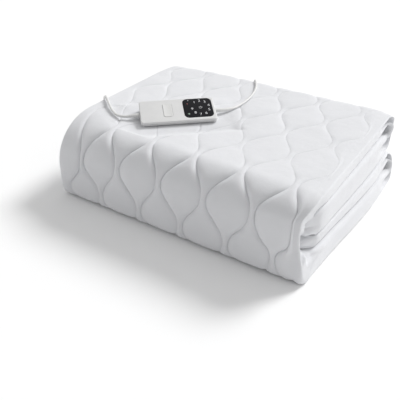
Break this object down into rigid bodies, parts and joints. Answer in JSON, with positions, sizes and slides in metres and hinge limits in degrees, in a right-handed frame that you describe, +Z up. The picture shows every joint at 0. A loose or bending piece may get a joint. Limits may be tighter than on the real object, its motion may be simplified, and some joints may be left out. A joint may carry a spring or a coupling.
{
  "type": "folded electric blanket",
  "caption": "Quilted electric underblanket folded into a block, with its wired hand control lying on top and the mains lead coiled beside it.",
  "frame": {"origin": "middle of the folded blanket's footprint, on the surface it lies on", "axes": "+X along the long fold towards the rounded end, +Y to the back where the leaves turn, +Z up"},
  "size_m": [0.6045, 0.4117, 0.1674],
  "materials": {
    "quilt": "soft matte white quilted cloth",
    "housing": "satin white moulding",
    "key": "satin white key",
    "display": "glossy black panel with pale numbers",
    "relief": "satin white soft moulding",
    "lead": "smooth white sheath",
    "strap": "woven hook and loop strap",
    "pin": "plated pin"
  },
  "bodies": {
    "folded_blanket": {"blanket": "quilt", "control_base": "housing", "control_cover": "housing", "display_panel": "display", "mains_relief": "relief", "mains_lead": "lead", "mains_coil": "lead", "coil_tie": "strap", "mains_tail": "lead", "plug_body": "relief", "plug_pin_a": "pin", "plug_pin_b": "pin", "blanket_relief": "relief", "blanket_lead": "lead", "blanket_gland": "relief"},
    "key": {"press_key": "key"}
  },
  "joints": [
    {"name": "key_press", "type": "slide", "parent": "folded_blanket", "child": "key", "axis": [-0.1666, 0.1869, -0.9681], "range_m": [0, 0.0008], "stiffness_N_per_m": 200}
  ]
}
